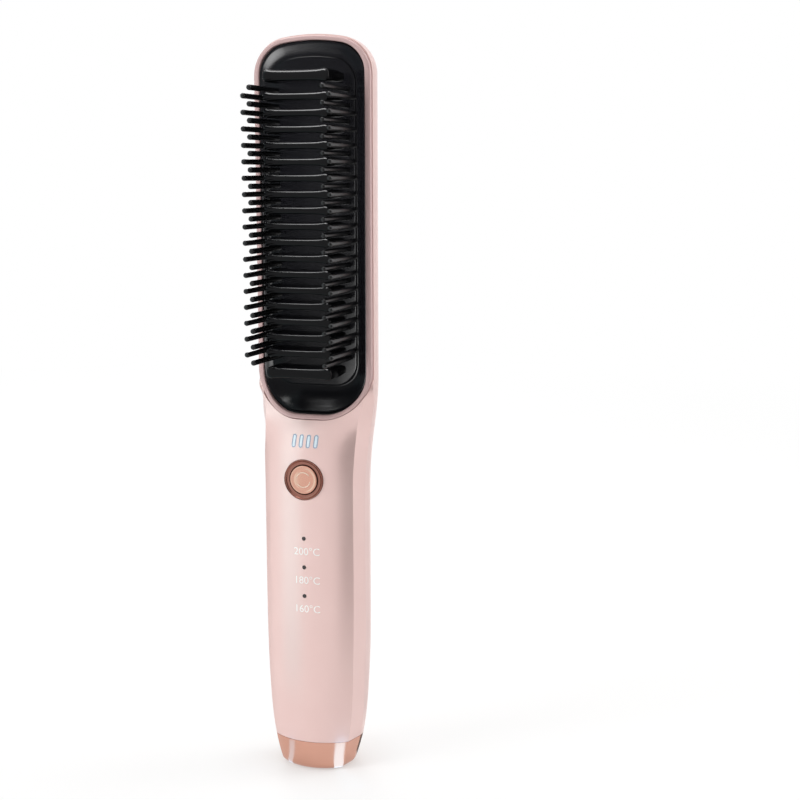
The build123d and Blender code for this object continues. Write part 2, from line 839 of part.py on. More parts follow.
with BuildPart() as heater_clamp:
    add(block((-clamp_half, clamp_half), (clamp_front, clamp_back), (clamp_low, clamp_high)))
    with BuildSketch(Plane.XZ.offset(-clamp_back)):
        with Locations(*clamp_screws_at):
            Circle(screw_dia / 2 + screw_slack)
        with Locations(*[(0, heater_mid + shift) for shift in clamp_slots]):
            SlotOverall(*clamp_slot)
    extrude(amount=clamp_thick, mode=Mode.SUBTRACT)
save(heater_clamp.part, "heater_clamp")

with BuildPart() as comb_screws:
    add(column_along_y(clamp_screws_at, screw_head_dia / 2, clamp_back, clamp_back + screw_head))
    add(column_along_y(clamp_screws_at, screw_dia / 2, plate_back + screw_end_gap, clamp_back))
    add(cross_recess(clamp_screws_at, clamp_back + screw_head), mode=Mode.SUBTRACT)
save(comb_screws.part, "comb_screws")

thermistor_radius = 1.0
with BuildPart() as thermistor:
    with Locations((-5.0, clamp_back + thermistor_radius, heater_mid - 10.0)):
        Cylinder(thermistor_radius, 5.0)
save(thermistor.part, "thermistor")

fuse_radius = 1.1
with BuildPart() as thermal_fuse:
    with Locations((5.0, clamp_back + fuse_radius, heater_low + 16.0)):
        Cylinder(fuse_radius, 8.0)
        Cylinder(0.4, 13.0)
save(thermal_fuse.part, "thermal_fuse")

# ---------------------------------------------------------------- controls
flange_front = ring_seat_y
flange_back = flange_front + button_flange
plunger_front = flange_back + stem_length
with BuildPart() as power_button:
    add(column_along_y([(0, button_z)], button_dia / 2, button_sink - button_front, flange_front))
    fillet(power_button.faces().sort_by(Axis.Y)[0].edges(), button_edge)
    add(column_along_y([(0, button_z)], button_flange_dia / 2, flange_front, flange_back))
    add(column_along_y([(0, button_z)], button_stem / 2, flange_back, plunger_front))
save(power_button.part, "power_button")

with BuildPart() as button_ring:
    add(column_along_y([(0, button_z)], button_ring_dia / 2, ring_sink - button_front, ring_seat_y))
    with BuildSketch(Plane.XZ.offset(button_front - ring_sink)):
        with Locations((0, button_z)):
            Circle(button_dia / 2 + button_gap)
    extrude(amount=-(button_front - ring_sink + ring_seat_y), mode=Mode.SUBTRACT)
    chamfer(button_ring.faces().sort_by(Axis.Y)[0].edges().sort_by(SortBy.RADIUS)[:1], button_ring_bevel)
save(button_ring.part, "button_ring")

with BuildPart() as switch_body:
    switch_span = (button_z - switch_half, button_z + switch_half)
    add(block((-switch_half, switch_half), (switch_front, board_y), switch_span))
    with BuildSketch(Plane.XZ.offset(-switch_front)):
        with Locations((0, button_z)):
            Circle(switch_hole / 2)
    extrude(amount=-switch_hole_depth, mode=Mode.SUBTRACT)
save(switch_body.part, "switch_body")

with BuildPart() as switch_plunger:
    plunger_radius = switch_hole / 2 - plunger_gap
    add(column_along_y([(0, button_z)], plunger_radius, plunger_front, switch_front + plunger_reach))
save(switch_plunger.part, "switch_plunger")

with BuildPart() as indicator_lens:
    with BuildSketch(Plane.XZ.offset(crown_y + 1)):
        with Locations(*[(x, bar_z) for x in bar_xs]):
            SlotOverall(bar_height, bar_width, rotation=90)
    extrude(amount=-(crown_y + 1 + lens_back))
    add(full_front, mode=Mode.INTERSECT)
    with BuildPart():
        lens_span = (bar_z - lens_half_height, bar_z + lens_half_height)
        add(block((-lens_half, lens_half), (-crown_y, lens_back), lens_span))
        add(wall_front, mode=Mode.INTERSECT)
save(indicator_lens.part, "indicator_lens")

with BuildPart() as temperature_lights:
    lamps_at = [(0, z) for z in lamp_zs]
    flange_y = wall + lamp_rise - crown_y
    add(column_along_y(lamps_at, lamp_dia / 2, -crown_y - lamp_rise, lamp_led_front))
    add(column_along_y(lamps_at, lamp_dia / 2 + lamp_flange, flange_y, lamp_led_front))
save(temperature_lights.part, "temperature_lights")

with BuildPart() as main_board:
    add(block((-board_half, board_half), (board_y, board_back), (board_low, board_high)))
    with BuildSketch(Plane.XZ.offset(-board_back)):
        with Locations(*board_screws_at):
            Circle(board_screw_dia / 2 + board_screw_slack)
    extrude(amount=board_thick, mode=Mode.SUBTRACT)
save(main_board.part, "main_board")

chips = (  # span in X, height off the board, span in Z from the board's lower edge
    ((-2.6, 2.6), 1.0, (5.9, 10.3)),
    ((-7.2, -2.8), 1.6, (15.6, 18.6)),
    ((1.0, 5.0), 1.6, (15.6, 18.6)),
    ((-8.6, -5.4), 0.8, (9.5, 12.6)),
)
resistor_xs = (-9.0, -6.6, 6.6, 9.0)
with BuildPart() as board_components:
    for x_span, height, z_span in chips:
        add(block(x_span, (board_back, board_back + height), (board_low + z_span[0], board_low + z_span[1])))
    add(column_along_y([(7.4, board_low + 12.5)], 2.0, board_back, board_back + 4.0))
    for x in resistor_xs:
        add(block((x - 0.4, x + 0.4), (board_y - 0.5, board_y), (board_low + 9.2, board_low + 10.8)))
save(board_components.part, "board_components")

with BuildPart() as indicator_leds:
    for x in bar_xs:
        led_span = (bar_z - led_half, bar_z + led_half)
        add(block((x - led_half, x + led_half), (board_y - led_high, board_y), led_span))
save(indicator_leds.part, "indicator_leds")

with BuildPart() as lamp_board:
    lamp_board_span = (lamp_zs[-1] - lamp_board_low_margin, lamp_zs[0] + lamp_board_high_margin)
    add(block((-lamp_board_half, lamp_board_half), (lamp_board_front, lamp_board_back), lamp_board_span))
save(lamp_board.part, "lamp_board")

with BuildPart() as lamp_leds:
    for z in lamp_zs:
        add(block((-led_half, led_half), (lamp_led_front, lamp_board_front), (z - led_half, z + led_half)))
save(lamp_leds.part, "lamp_leds")

with BuildPart() as foam_pad:
    foam_span = (lamp_zs[-1] - foam_low_margin, lamp_zs[0] + foam_high_margin)
    add(block((-lamp_board_half, lamp_board_half), (lamp_board_back, cell_y - cell_dia / 2), foam_span))
save(foam_pad.part, "foam_pad")

with BuildPart() as board_screws:
    head_back = board_back + board_screw_head[1]
    add(column_along_y(board_screws_at, board_screw_head[0] / 2, board_back, head_back))
    screw_front = board_y - board_screw_reach + board_screw_end_gap
    add(column_along_y(board_screws_at, board_screw_dia / 2, screw_front, board_back))
save(board_screws.part, "board_screws")

# ---------------------------------------------------------------- power
with BuildPart() as battery_cell:
    with Locations((0, cell_y, cell_low)):
        Cylinder(cell_dia / 2, cell_length - cell_shoulder, align=(Align.CENTER, Align.CENTER, Align.MIN))
        Cylinder(cell_pole_dia / 2, cell_length, align=(Align.CENTER, Align.CENTER, Align.MIN))
    fillet(battery_cell.edges().filter_by(GeomType.CIRCLE).sort_by(SortBy.RADIUS)[-2:], cell_shoulder)
save(battery_cell.part, "battery_cell")

with BuildPart() as battery_frame:
    add(block((-frame_half, frame_half), (frame_front, back_y), (frame_low, frame_high)))
    add(floor_blank, mode=Mode.INTERSECT)
    with Locations((0, cell_y, cell_low - tab_thick)):
        Cylinder(
            cell_dia / 2 + cell_gap,
            cell_length + 2 * tab_thick,
            align=(Align.CENTER, Align.CENTER, Align.MIN),
            mode=Mode.SUBTRACT,
        )
    window_x = (-frame_window_half, frame_window_half)
    add(block(window_x, (cell_y, back_y), (cell_low, cell_high)), mode=Mode.SUBTRACT)
    end_span = (frame_low - 1, frame_high + 1)
    add(block((-frame_end_half, frame_end_half), frame_end_span, end_span), mode=Mode.SUBTRACT)
save(battery_frame.part, "battery_frame")

with BuildPart() as battery_tabs:
    add(block((-3.0, 3.0), tab_span_y, (cell_high, cell_high + tab_thick)))
    add(block((-6.0, 3.0), tab_span_y, (cell_low - tab_thick, cell_low)))
save(battery_tabs.part, "battery_tabs")

with BuildPart() as usb_socket:
    with BuildSketch(Plane.XY.offset(socket_recess)):
        with Locations((0, 0)):
            RectangleRounded(socket_width, socket_depth, socket_corner)
    extrude(amount=socket_length)
    with BuildSketch(Plane.XY.offset(socket_recess)):
        with Locations((0, 0)):
            RectangleRounded(
                socket_width - 2 * socket_wall,
                socket_depth - 2 * socket_wall,
                socket_corner - socket_wall,
            )
    extrude(amount=socket_length - 1.0, mode=Mode.SUBTRACT)
    with Locations((0, 0, socket_recess + tongue_recess)):
        Box(tongue_width, tongue_thick, socket_length - 1.0, align=(Align.CENTER, Align.CENTER, Align.MIN))
save(usb_socket.part, "usb_socket")

socket_back = socket_depth / 2
with BuildPart() as charge_board:
    board_span = (socket_back, socket_back + charge_board_thick)
    add(block((-charge_board_half, charge_board_half), board_span, (charge_board_low, charge_board_high)))
    add(block((-2.0, 2.0), (socket_back - 0.9, socket_back), (10.5, 13.5)))
save(charge_board.part, "charge_board")

with BuildPart() as joint_frame:
    add(blank(wall + fit_gap / 2))
    add(front_form(wall + fit_gap / 2), mode=Mode.INTERSECT)
    add(block(body_span, body_span, (joint_frame_low, joint_frame_high)), mode=Mode.INTERSECT)
    hole_x = (-charge_board_half - fit_gap, charge_board_half + fit_gap)
    hole_y = (-socket_back - fit_gap, socket_back + charge_board_thick)
    add(block(hole_x, hole_y, (joint_frame_low - 1, joint_frame_high + 1)), mode=Mode.SUBTRACT)
save(joint_frame.part, "joint_frame")

with BuildPart() as end_cap:
    add(full_blank)
    add(full_front, mode=Mode.INTERSECT)
    add(block(body_span, body_span, (joint_z, overall_length)), mode=Mode.SUBTRACT)
    fillet(end_cap.edges().group_by(Axis.Z)[0], foot_round)
    add(cavity.part, mode=Mode.SUBTRACT)
    with BuildSketch(Plane.XY.offset(-1)):
        with Locations((0, 0)):
            RectangleRounded(
                socket_width + 2 * socket_gap,
                socket_depth + 2 * socket_gap,
                socket_corner + socket_gap,
            )
    extrude(amount=cap_floor + 2, mode=Mode.SUBTRACT)
save(end_cap.part, "end_cap")

# ---------------------------------------------------------------- leads
with BuildPart() as heater_leads:
    for x in (-4.0, 4.0):
        points = [
            (x, board_back, 110.5),
            (x, 3.2, 110.5),
            (x, heater_front + 0.8, 124.0),
            (x, heater_front + 0.8, heater_low),
        ]
        add(lead(points, 2.0))
save(heater_leads.part, "heater_leads")

with BuildPart() as battery_leads:
    add(lead([(1.5, 1.5, cell_high + tab_thick), (1.5, 1.5, 100.5), (1.5, board_back, 100.5)], 2.0))
    points = [
        (-5.3, 1.5, cell_low - tab_thick),
        (-5.3, 1.5, 21.8),
        (-13.3, 1.5, 21.8),
        (-13.3, 0.0, 32.0),
        (-13.3, 0.0, 102.5),
        (-9.4, 0.0, 103.5),
        (-9.4, board_back, 103.5),
    ]
    add(lead(points, 1.0))
save(battery_leads.part, "battery_leads")

with BuildPart() as charge_leads:
    for shift in (-0.8, 0.8):
        points = [
            (4.6 + shift, socket_back + charge_board_thick, 15.2 - shift / 2),
            (4.6 + shift, 5.0 + shift, 15.2 - shift / 2),
            (13.3, 5.0 + shift, 24.0),
            (13.3, shift, 40.0),
            (13.3, shift, 100.5 + shift),
            (9.4, shift, 103.5 + shift),
            (9.4, board_back, 103.5 + shift),
        ]
        add(lead(points, 1.0))
save(charge_leads.part, "charge_leads")
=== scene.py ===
import json
import math

import bmesh
import bpy
from mathutils import Matrix, Vector


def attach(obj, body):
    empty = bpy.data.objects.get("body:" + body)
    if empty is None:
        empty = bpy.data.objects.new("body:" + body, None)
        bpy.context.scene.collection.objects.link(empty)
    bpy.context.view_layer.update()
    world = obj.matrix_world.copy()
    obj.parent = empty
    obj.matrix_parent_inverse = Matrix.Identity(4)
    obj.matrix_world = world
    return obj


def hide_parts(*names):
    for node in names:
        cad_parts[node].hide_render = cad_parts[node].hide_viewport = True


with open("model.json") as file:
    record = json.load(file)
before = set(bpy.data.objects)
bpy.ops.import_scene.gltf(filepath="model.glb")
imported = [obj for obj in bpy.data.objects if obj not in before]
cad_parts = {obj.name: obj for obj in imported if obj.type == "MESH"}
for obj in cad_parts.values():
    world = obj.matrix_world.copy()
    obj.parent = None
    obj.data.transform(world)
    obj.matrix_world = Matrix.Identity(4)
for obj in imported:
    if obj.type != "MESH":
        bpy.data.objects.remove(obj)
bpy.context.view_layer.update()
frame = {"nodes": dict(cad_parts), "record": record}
bpy.ops.object.select_all(action="DESELECT")
nodes = frame["nodes"]
mm = 0.001


# materials: one function for colours, one for nodes
def hexColour(code):
    # sRGB hex to linear
    channels = [int(code[i:i + 2], 16) / 255 for i in (1, 3, 5)]
    return [c / 12.92 if c <= 0.04045 else ((c + 0.055) / 1.055) ** 2.4 for c in channels] + [1.0]


def addNode(tree, kind, settings=None, sources=(), **links):
    # sources feed the first inputs in order, and links feed the inputs that they name
    node = tree.nodes.new(kind)
    for name, value in (settings or {}).items():
        if name in node.inputs:
            node.inputs[name].default_value = value
        else:
            setattr(node, name, value)
    for i, source in enumerate(sources):
        tree.links.new(source, node.inputs[i])
    for name, source in links.items():
        tree.links.new(source, node.inputs[name.replace("_", " ")])
    return node


def newMaterial(name, shader):
    material = bpy.data.materials.new(name)
    material.use_nodes = True
    surface = material.node_tree.nodes["Principled BSDF"]
    for socket, value in shader.items():
        surface.inputs[socket].default_value = value
    return material, material.node_tree, surface


# the patches, in mm across, are where the colour and the roughness wander
grainLook = {"detail": 2.0, "strength": 0.5, "patch": 50 / 3, "patchDetail": 3.0}
mixDark, mixLight, mixResult = 6, 7, 2  # the colour sockets of a Mix node


def addGrain(tree, surface, grain, depth, roughness, spread):
    # grain and depth in mm: a fine moulded or blasted grain, and a roughness that wanders a little
    place = addNode(tree, "ShaderNodeTexCoord").outputs["Object"]
    fineNoise = {"Scale": 1000 / grain, "Detail": grainLook["detail"]}
    fine = addNode(tree, "ShaderNodeTexNoise", fineNoise, Vector=place)
    relief = {"Strength": grainLook["strength"], "Distance": depth * mm}
    bump = addNode(tree, "ShaderNodeBump", relief, Height=fine.outputs["Fac"])
    tree.links.new(bump.outputs["Normal"], surface.inputs["Normal"])
    patchNoise = {"Scale": 1000 / grainLook["patch"], "Detail": grainLook["patchDetail"]}
    patches = addNode(tree, "ShaderNodeTexNoise", patchNoise, Vector=place)
    limits = {"To Min": roughness - spread, "To Max": roughness + spread}
    wander = addNode(tree, "ShaderNodeMapRange", limits, Value=patches.outputs["Fac"])
    tree.links.new(wander.outputs["Result"], surface.inputs["Roughness"])
    return patches


def addTint(tree, surface, patches, dark, light):
    tint = addNode(tree, "ShaderNodeMix", {"data_type": "RGBA"}, Factor=patches.outputs["Fac"])
    tint.inputs[mixDark].default_value = hexColour(dark)
    tint.inputs[mixLight].default_value = hexColour(light)
    tree.links.new(tint.outputs[mixResult], surface.inputs["Base Color"])


def finish(name, dark, light, roughness, spread=0.03, grain=0.4, depth=0.004, **shader):
    sockets = {key.replace("_", " "): value for key, value in shader.items()}
    material, tree, surface = newMaterial(name, sockets)
    addTint(tree, surface, addGrain(tree, surface, grain, depth, roughness, spread), dark, light)
    return material


finishes = {
    # pearl-painted ABS: satin pink that goes pale in the light and mauve in the shade
    "shell_satin_pink": finish("pearlPaintedAbs", "#E6C5C0", "#EBCDC8", 0.30, Metallic=0.45,
                               Coat_Weight=0.15, Coat_Roughness=0.25),
    # vacuum-plated ABS, polished: mirror-like rose gold
    "rose_gold": finish("roseGoldPlating", "#D19D89", "#D8A693", 0.17, grain=0.8, depth=0.002,
                        Metallic=1.0),
    # the same plating over a darker base: brown rose gold
    "bronze_plate": finish("darkRoseGoldPlating", "#8E5F54", "#9A695D", 0.24, grain=0.8, depth=0.002,
                           Metallic=1.0),
    # PBT from a mirror-polished mould: wet black
    "comb_black": finish("glossBlackPbt", "#030304", "#050506", 0.16, spread=0.02, grain=1.5,
                         depth=0.002, Specular_IOR_Level=0.06),
    # moulded nylon: black, with a line of light along each bristle
    "bristle_black": finish("blackNylon", "#08080A", "#0C0C0E", 0.26, grain=0.3, depth=0.002,
                            Specular_IOR_Level=0.4),
    # die-cast aluminium under a black ceramic glaze: wet highlights along each tooth
    "teeth_black": finish("blackCeramicGlaze", "#030304", "#060607", 0.11, grain=0.9, depth=0.002,
                          Specular_IOR_Level=0.13),
    # fired ceramic: dull stone grey
    "heater_ceramic": finish("bareCeramic", "#B8AFA1", "#C6BEB2", 0.7),
    # pressed mica: tan, faintly shiny
    "mica": finish("micaSheet", "#BFA97C", "#CDBB92", 0.45),
    # zinc-plated sheet steel: bright grey
    "steel": finish("zincPlatedSteel", "#A7A8AA", "#BDBEC0", 0.3, Metallic=1.0),
    # black zinc plating: dark grey metal
    "screw_steel": finish("blackZincSteel", "#3E3F42", "#55565A", 0.35, Metallic=1.0),
    # melted glass bead: amber and shiny
    "sensor_glass": finish("amberGlass", "#B8763E", "#C98B52", 0.12),
    # spun aluminium: pale satin metal
    "fuse_can": finish("spunAluminium", "#C6C7C8", "#D5D6D7", 0.32, Metallic=1.0),
    # cast acrylic, frosted: pale blue-white
    "lens_pale": finish("frostedAcrylic", "#DDF0FA", "#E8F6FD", 0.25, Coat_Weight=0.3),
    # cast acrylic, smoked: near black and shiny
    "lamp_smoke": finish("smokedAcrylic", "#1B1416", "#241B1D", 0.14, Coat_Weight=0.5),
    # moulded ABS: plain black
    "black_plastic": finish("blackAbs", "#141415", "#1C1C1E", 0.5),
    # moulded nylon: milky white
    "white_plastic": finish("whiteNylon", "#DEDEDA", "#E8E8E4", 0.4),
    # solder mask over copper: glossy green
    "board_green": finish("solderMask", "#12452A", "#185433", 0.3, Coat_Weight=0.3),
    # moulded epoxy: dull black
    "chip_black": finish("epoxyMoulding", "#18181A", "#222224", 0.55),
    # open-cell foam: rough, dark grey
    "foam": finish("openCellFoam", "#29292B", "#38383B", 0.95, depth=0.05),
    # shrink wrap: smooth blue film
    "cell_wrap": finish("pvcShrinkWrap", "#1C5E88", "#236A96", 0.28),
    # rolled nickel strip: warm silver
    "nickel": finish("nickelStrip", "#B9B6AE", "#CAC7C0", 0.28, Metallic=1.0),
    # extruded silicone: a soft sheen
    "red_wire": finish("redSilicone", "#9A1A16", "#AB221D", 0.45),
    "white_wire": finish("whiteSilicone", "#D6D4CF", "#E0DED9", 0.45),
    "black_wire": finish("blackSilicone", "#121213", "#1A1A1C", 0.45),
}
# pearl-painted ABS of a deeper rose, the whole ring made darker and less metallic with painted shade that
# stands in for the dark reflection along its top and left: the ring round the comb reads as a mauve line
bezelShadedPaint = finish("shadedRosePearlAbs", "#C3A4A2", "#CAABA9", 0.4, Metallic=0.15)
# pad-printed ink: flat opaque white
whiteInk = finish("whitePadPrint", "#F4F2F0", "#FAF8F6", 0.5)
# painted ABS: cream and slightly pearly, on the panel's caps and the button's mark
creamCaps = finish("creamPaintedAbs", "#E9CDB8", "#F0D8C5", 0.32, Metallic=0.2, Coat_Weight=0.3)
# pad-printed ink: flat grey-blue, round the battery bars
barInk = finish("greyBluePadPrint", "#7F93B0", "#8B9EBA", 0.45)

slotOf = {entry["node"]: entry["material_slot"] for entry in frame["record"]["subparts"]}
for nodeName, node in nodes.items():
    node.data.materials.clear()
    node.data.materials.append(finishes[slotOf[nodeName]])
print("finishes on", len(nodes), "CAD nodes")


# helpers for the pieces that are modelled here
loopCrease = math.radians(50)  # edges sharper than this stay sharp
blockCrease = math.radians(40)
clearFront = -20.0  # Y in mm, in front of the grip: where prints start before they are laid on it


def settle(piece, name, material, replaced=(), body="comb"):
    # the place goes into the mesh, and the piece rides on its body
    bpy.ops.object.select_all(action="DESELECT")
    piece.select_set(True)
    bpy.context.view_layer.objects.active = piece
    bpy.ops.object.transform_apply(location=True, rotation=True, scale=True)
    piece.name = name
    piece.data.materials.clear()
    piece.data.materials.append(material)
    if replaced:
        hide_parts(*replaced)
    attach(piece, body)
    bpy.ops.object.select_all(action="DESELECT")


def useModifier(piece, kind, **settings):
    bpy.context.view_layer.objects.active = piece
    modifier = piece.modifiers.new(kind.lower(), kind)
    for key, value in settings.items():
        setattr(modifier, key, value)
    bpy.ops.object.modifier_apply(modifier=modifier.name)


def addBlock(place, size):
    # a cube of a size at a place, both in mm, to be shaped further
    bpy.ops.mesh.primitive_cube_add(size=1, location=Vector(place) * mm)
    block = bpy.context.object
    block.dimensions = Vector(size) * mm
    bpy.ops.object.transform_apply(location=True, rotation=False, scale=True)
    return block


def selectVerts(piece, rule):
    # in edit mode: only the vertices whose place (in mm) fits the rule
    mesh = bmesh.from_edit_mesh(piece.data)
    for vert in mesh.verts:
        vert.select_set(bool(rule(vert.co / mm)))
    mesh.select_flush(True)
    bmesh.update_edit_mesh(piece.data)


def joined(pieces):
    bpy.ops.object.select_all(action="DESELECT")
    for piece in pieces:
        piece.select_set(True)
    bpy.context.view_layer.objects.active = pieces[0]
    bpy.ops.object.join()
    return bpy.context.object


def ownCopy(piece, shift):
    copy = piece.copy()
    copy.data = piece.data.copy()
    bpy.context.scene.collection.objects.link(copy)
    copy.location = piece.location + Vector(shift) * mm
    return copy


# heated teeth: a cage in mm with a cut at each change of shape, rounded by subdivision
teeth = {"count": 17, "first": 229.2, "pitch": 5.2, "endStep": 6.6,
         "half": 11.5, "tip": 15.0, "root": 2.2, "tipCuts": (0.9, 3.0),
         "web": 1.05, "bulb": 1.6, "endWeb": 1.6, "endBulb": 2.15,
         "neck": 8.3, "shoulder": 9.6, "cheek": 10.7, "cheekShare": 0.92, "endShare": 0.62,
         "near": 0.2, "levels": 2}
teethBase = {"half": 11.3, "front": 2.2, "back": 4.2, "low": 136.6, "high": 238.6,
             "round": 0.3, "roundSteps": 2}


def makeTooth(height, web, bulb):
    middleY = (teeth["root"] - teeth["tip"]) / 2
    tooth = addBlock((0, middleY, height), (2 * teeth["half"], teeth["tip"] + teeth["root"], 2 * web))
    bpy.ops.object.mode_set(mode="EDIT")
    for x in (teeth["neck"], teeth["shoulder"], teeth["cheek"]):
        for side in (-1, 1):
            bpy.ops.mesh.select_all(action="SELECT")
            bpy.ops.mesh.bisect(plane_co=(side * x * mm, 0, 0), plane_no=(1, 0, 0))
    for cut in teeth["tipCuts"]:
        bpy.ops.mesh.select_all(action="SELECT")
        bpy.ops.mesh.bisect(plane_co=(0, (cut - teeth["tip"]) * mm, 0), plane_no=(0, 1, 0))
    # thicker from the shoulder out, then narrowing again over the cheek to the end
    shares = {"shoulder": bulb / web, "cheek": teeth["cheekShare"], "half": teeth["endShare"]}
    for start, share in shares.items():
        selectVerts(tooth, lambda co: abs(co.x) > teeth[start] - teeth["near"])
        bpy.ops.transform.resize(value=(1, 1, share), center_override=(0, 0, height * mm))
    bpy.ops.object.mode_set(mode="OBJECT")
    useModifier(tooth, "SUBSURF", levels=teeth["levels"], render_levels=teeth["levels"])
    bpy.ops.object.shade_smooth()
    return tooth


def makeTeethBase():
    middle = [(teethBase[a] + teethBase[b]) / 2 for a, b in (("front", "back"), ("low", "high"))]
    size = [teethBase["back"] - teethBase["front"], teethBase["high"] - teethBase["low"]]
    base = addBlock([0] + middle, [2 * teethBase["half"]] + size)
    useModifier(base, "BEVEL", width=teethBase["round"] * mm, segments=teethBase["roundSteps"])
    bpy.ops.object.shade_smooth_by_angle(angle=blockCrease)
    return base


toothHeights = [teeth["first"] - i * teeth["pitch"] for i in range(teeth["count"])]
firstTooth = makeTooth(toothHeights[0], teeth["web"], teeth["bulb"])
toothRow = [firstTooth]
toothRow += [ownCopy(firstTooth, (0, 0, height - toothHeights[0])) for height in toothHeights[1:]]
for endHeight in (toothHeights[0] + teeth["endStep"], toothHeights[-1] - teeth["endStep"]):
    toothRow.append(makeTooth(endHeight, teeth["endWeb"], teeth["endBulb"]))
toothRow.append(makeTeethBase())
settle(joined(toothRow), "heatedTeeth", finishes["teeth_black"], ["heating_plate"])
print("heated teeth")


# bezel ring and comb plate: sections carried round loops that follow the curved face, in mm
bezel = {"half": 20.6, "low": 122.6, "high": 249.4, "lowRadius": 16.3, "highRadius": 12.0, "endShare": 0.75,
         # section: how far in from the ring's outside, and how far behind the face
         "section": ((0.0, 1.75), (0.0, 0.6), (0.09, 0.34), (0.26, 0.14), (0.5, 0.03), (0.8, 0.0),
                     (1.55, 0.0), (1.75, 0.04), (1.9, 0.15), (1.98, 0.35), (2.0, 0.6), (2.0, 1.75))}
plate = {"half": 15.3, "low": 133.6, "high": 243.0, "lowRadius": 8.0, "highRadius": 8.5, "lap": 1.5,
         # share of the way from the ring's loop to the platform's, and how far behind the face
         "apron": ((0.0, 1.95), (0.11, 1.92), (0.125, 0.95), (0.15, 0.62), (0.2, 0.56), (0.32, 0.72),
                   (0.5, 1.05), (0.7, 1.34), (0.86, 1.46), (0.97, 1.5)),
         # how far in from the platform's edge, and how far behind the face
         "platform": ((0.0, 1.46), (0.06, 1.3), (0.12, 1.05), (0.22, 0.9), (0.4, 0.81), (0.7, 0.78),
                      (6.0, 0.78)),
         "thick": 1.2}
# turn in degrees: how far a top corner goes round before the crown takes over
face = {"turn": 80, "y": -1.2, "scoopTop": 136.0, "scoopRadius": 20.5,
        "cornerSteps": 18, "sideSteps": 12, "crownSteps": 8}


def faceLoop(half, low, high, lowRadius, highRadius):
    # straight sides, round lower corners and a crowned top, the same count of points for every loop
    turn = math.radians(face["turn"])
    crownRadius = highRadius + (half - highRadius) / math.cos(turn)
    cornerZ = high - highRadius - (half - highRadius) * (1 - math.sin(turn)) / math.cos(turn)
    lowX, highX = half - lowRadius, half - highRadius
    corner, side, crown = face["cornerSteps"], face["sideSteps"], face["crownSteps"]
    points = [(0.0, low), (lowX / 2, low)]
    for i in range(corner + 1):
        angle = -math.pi / 2 + i / corner * math.pi / 2
        points.append((lowX + lowRadius * math.cos(angle), low + lowRadius * (1 + math.sin(angle))))
    for i in range(1, side):
        points.append((half, low + lowRadius + (cornerZ - low - lowRadius) * i / side))
    for i in range(corner + 1):
        angle = i / corner * turn
        points.append((highX + highRadius * math.cos(angle), cornerZ + highRadius * math.sin(angle)))
    for i in range(1, crown + 1):
        angle = turn + i / crown * (math.pi / 2 - turn)
        points.append((crownRadius * math.cos(angle), high - crownRadius * (1 - math.sin(angle))))
    return points + [(-x, z) for x, z in reversed(points[1:-1])]


def ringLoop(inset):
    ends = inset * bezel["endShare"]
    return faceLoop(bezel["half"] - inset, bezel["low"] + ends, bezel["high"] - ends,
                    bezel["lowRadius"] - inset, bezel["highRadius"] - inset)


def platformLoop(inset):
    return faceLoop(plate["half"] - inset, plate["low"] + inset, plate["high"] - inset,
                    plate["lowRadius"] - inset, plate["highRadius"] - inset)


def faceDepth(z):
    # Y of the face: flat up the head, and scooped forwards where the head meets the grip
    below = max(0.0, face["scoopTop"] - z)
    return face["y"] - face["scoopRadius"] + math.sqrt(face["scoopRadius"] ** 2 - below ** 2)


def onFace(loop, depth):
    return [(x, faceDepth(z) + depth, z) for x, z in loop]


def loopMesh(name, loops, closed=False):
    # quads between one loop of points (in mm) and the next
    mesh = bmesh.new()
    rings = [[mesh.verts.new(Vector(point) * mm) for point in loop] for loop in loops]
    pairs = list(zip(rings, rings[1:])) + ([(rings[-1], rings[0])] if closed else [])
    for ring, following in pairs:
        for i in range(len(ring)):
            j = (i + 1) % len(ring)
            mesh.faces.new((ring[i], ring[j], following[j], following[i]))
    bmesh.ops.recalc_face_normals(mesh, faces=mesh.faces)
    data = bpy.data.meshes.new(name)
    mesh.to_mesh(data)
    mesh.free()
    piece = bpy.data.objects.new(name, data)
    bpy.context.scene.collection.objects.link(piece)
    bpy.context.view_layer.objects.active = piece
    piece.select_set(True)
    bpy.ops.object.shade_smooth_by_angle(angle=loopCrease)
    return piece


def between(outer, inner, share):
    return [(a[0] + (b[0] - a[0]) * share, a[1] + (b[1] - a[1]) * share) for a, b in zip(outer, inner)]


def rounded(point):
    # to a thousandth of a mm, so that a loop's points are found again in the mesh
    return tuple(round(c, 3) for c in point)


def makePlate():
    outer, inner = ringLoop(plate["lap"]), platformLoop(0)
    loops = [onFace(between(outer, inner, share), depth) for share, depth in plate["apron"]]
    loops += [onFace(platformLoop(inset), depth) for inset, depth in plate["platform"]]
    piece = loopMesh("combPlate", loops)
    bpy.ops.object.mode_set(mode="EDIT")
    bpy.ops.mesh.select_mode(type="VERT")
    last = {rounded(point) for point in loops[-1]}
    selectVerts(piece, lambda co: rounded(co) in last)
    bpy.ops.mesh.edge_face_add()
    bpy.ops.mesh.select_all(action="SELECT")
    bpy.ops.mesh.normals_make_consistent(inside=False)
    bpy.ops.object.mode_set(mode="OBJECT")
    if piece.data.polygons[-1].normal.y > 0:
        piece.data.flip_normals()
    useModifier(piece, "SOLIDIFY", thickness=plate["thick"] * mm, offset=-1)
    return piece


ringLoops = [onFace(ringLoop(inset), depth) for inset, depth in bezel["section"]]
# the ring takes the darkened pearl paint, which carries painted shade
settle(loopMesh("bezelRing", ringLoops, closed=True), "bezelRing", bezelShadedPaint, ["bezel_ring"])
settle(makePlate(), "combPlate", finishes["comb_black"], ["comb_plate"])
print("bezel ring and comb plate")


